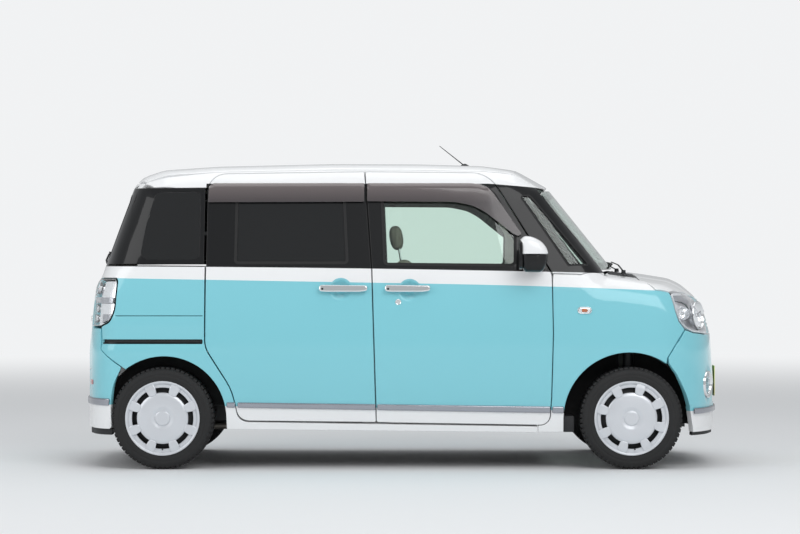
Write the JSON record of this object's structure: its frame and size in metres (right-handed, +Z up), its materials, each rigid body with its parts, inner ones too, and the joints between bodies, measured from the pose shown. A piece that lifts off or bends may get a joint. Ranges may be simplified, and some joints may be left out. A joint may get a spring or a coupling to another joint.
{
  "type": "kei car",
  "caption": "Tall two-tone kei wagon with two hinged front doors, sliding rear doors, tailgate, bonnet, steered front wheels and a seated cabin.",
  "frame": {"origin": "on the ground under the middle of the car's length and width", "axes": "+X forwards, +Y to the car's left, +Z up"},
  "size_m": [3.395, 1.74, 1.7345],
  "materials": {
    "tyre": "matt rubber",
    "liner_plastic": "matt black",
    "wheel_cover": "satin white and silver",
    "clear_glass": "light green tint",
    "dark_glass": "dark tint",
    "smoked_plastic": "smoked clear",
    "chassis_steel": "black satin",
    "raw_metal": "rough",
    "lamp_lens": "clear",
    "seat_fabric": "woven",
    "trim_plastic": "grained",
    "black_plastic": "grained black",
    "underbody_paint": "stone guard",
    "white_paint": "gloss",
    "two_tone_paint": "gloss turquoise with white upper band"
  },
  "bodies": {
    "root": {"antenna": "black_plastic", "body_side_left": "two_tone_paint", "body_side_right": "two_tone_paint", "cowl_panel": "black_plastic", "dashboard": "trim_plastic", "door_slide_left": "two_tone_paint", "door_slide_right": "two_tone_paint", "engine_block": "raw_metal", "exhaust": "raw_metal", "floor_pan": "underbody_paint", "front_bumper": "two_tone_paint", "front_fenders": "two_tone_paint", "front_seats": "seat_fabric", "front_suspension": "chassis_steel", "fuel_tank": "raw_metal", "grille_panel": "black_plastic", "headlamps": "lamp_lens", "rear_axle": "chassis_steel", "rear_bumper": "two_tone_paint", "rear_seat": "seat_fabric", "roof_panel": "white_paint", "side_glass": "dark_glass", "steering_wheel": "trim_plastic", "tail_lamps": "lamp_lens", "visors_slide": "smoked_plastic", "wheel_liners": "liner_plastic", "windscreen": "clear_glass"},
    "door_front_right": {"door_front_right": "two_tone_paint", "door_glass_front_right": "clear_glass", "visor_front_right": "smoked_plastic", "mirror_right": "white_paint"},
    "door_front_left": {"door_front_left": "two_tone_paint", "door_glass_front_left": "clear_glass", "visor_front_left": "smoked_plastic", "mirror_left": "white_paint"},
    "tailgate": {"tailgate": "two_tone_paint", "tailgate_glass": "dark_glass"},
    "bonnet": {"bonnet": "white_paint"},
    "knuckle_right": {"knuckle_right": "chassis_steel"},
    "knuckle_left": {"knuckle_left": "chassis_steel"},
    "wheel_front_right": {"tyre_front_right": "tyre", "wheel_front_right": "wheel_cover"},
    "wheel_front_left": {"tyre_front_left": "tyre", "wheel_front_left": "wheel_cover"},
    "wheel_rear_right": {"tyre_rear_right": "tyre", "wheel_rear_right": "wheel_cover"},
    "wheel_rear_left": {"tyre_rear_left": "tyre", "wheel_rear_left": "wheel_cover"}
  },
  "joints": [
    {"name": "steer_right", "type": "hinge", "parent": "root", "child": "knuckle_right", "pos_m": [1.195, -0.585, 0.268], "axis": [0, 0, 1], "range_deg": [-35, 35]},
    {"name": "steer_left", "type": "hinge", "parent": "root", "child": "knuckle_left", "pos_m": [1.195, 0.585, 0.268], "axis": [0, 0, 1], "range_deg": [-35, 35]},
    {"name": "spin_front_right", "type": "hinge", "parent": "knuckle_right", "child": "wheel_front_right", "pos_m": [1.195, -0.65, 0.268], "axis": [0, 1, 0], "continuous": true},
    {"name": "spin_front_left", "type": "hinge", "parent": "knuckle_left", "child": "wheel_front_left", "pos_m": [1.195, 0.65, 0.268], "axis": [0, 1, 0], "continuous": true},
    {"name": "spin_rear_right", "type": "hinge", "parent": "root", "child": "wheel_rear_right", "pos_m": [-1.26, -0.65, 0.268], "axis": [0, 1, 0], "continuous": true},
    {"name": "spin_rear_left", "type": "hinge", "parent": "root", "child": "wheel_rear_left", "pos_m": [-1.26, 0.65, 0.268], "axis": [0, 1, 0], "continuous": true},
    {"name": "open_door_front_right", "type": "hinge", "parent": "root", "child": "door_front_right", "pos_m": [0.791, -0.7385, 0.6], "axis": [0, 0, 1], "range_deg": [0, 65]},
    {"name": "open_door_front_left", "type": "hinge", "parent": "root", "child": "door_front_left", "pos_m": [0.791, 0.7385, 0.6], "axis": [0, 0, -1], "range_deg": [0, 65]},
    {"name": "open_tailgate", "type": "hinge", "parent": "root", "child": "tailgate", "pos_m": [-1.458, 0, 1.507], "axis": [0, 1, 0], "range_deg": [0, 80]},
    {"name": "open_bonnet", "type": "hinge", "parent": "root", "child": "bonnet", "pos_m": [1.18, 0, 1.029], "axis": [0, -1, 0], "range_deg": [0, 50]}
  ],
  "couplings": [
    {"joint": "steer_left", "follows": "steer_right", "ratio": 1}
  ]
}
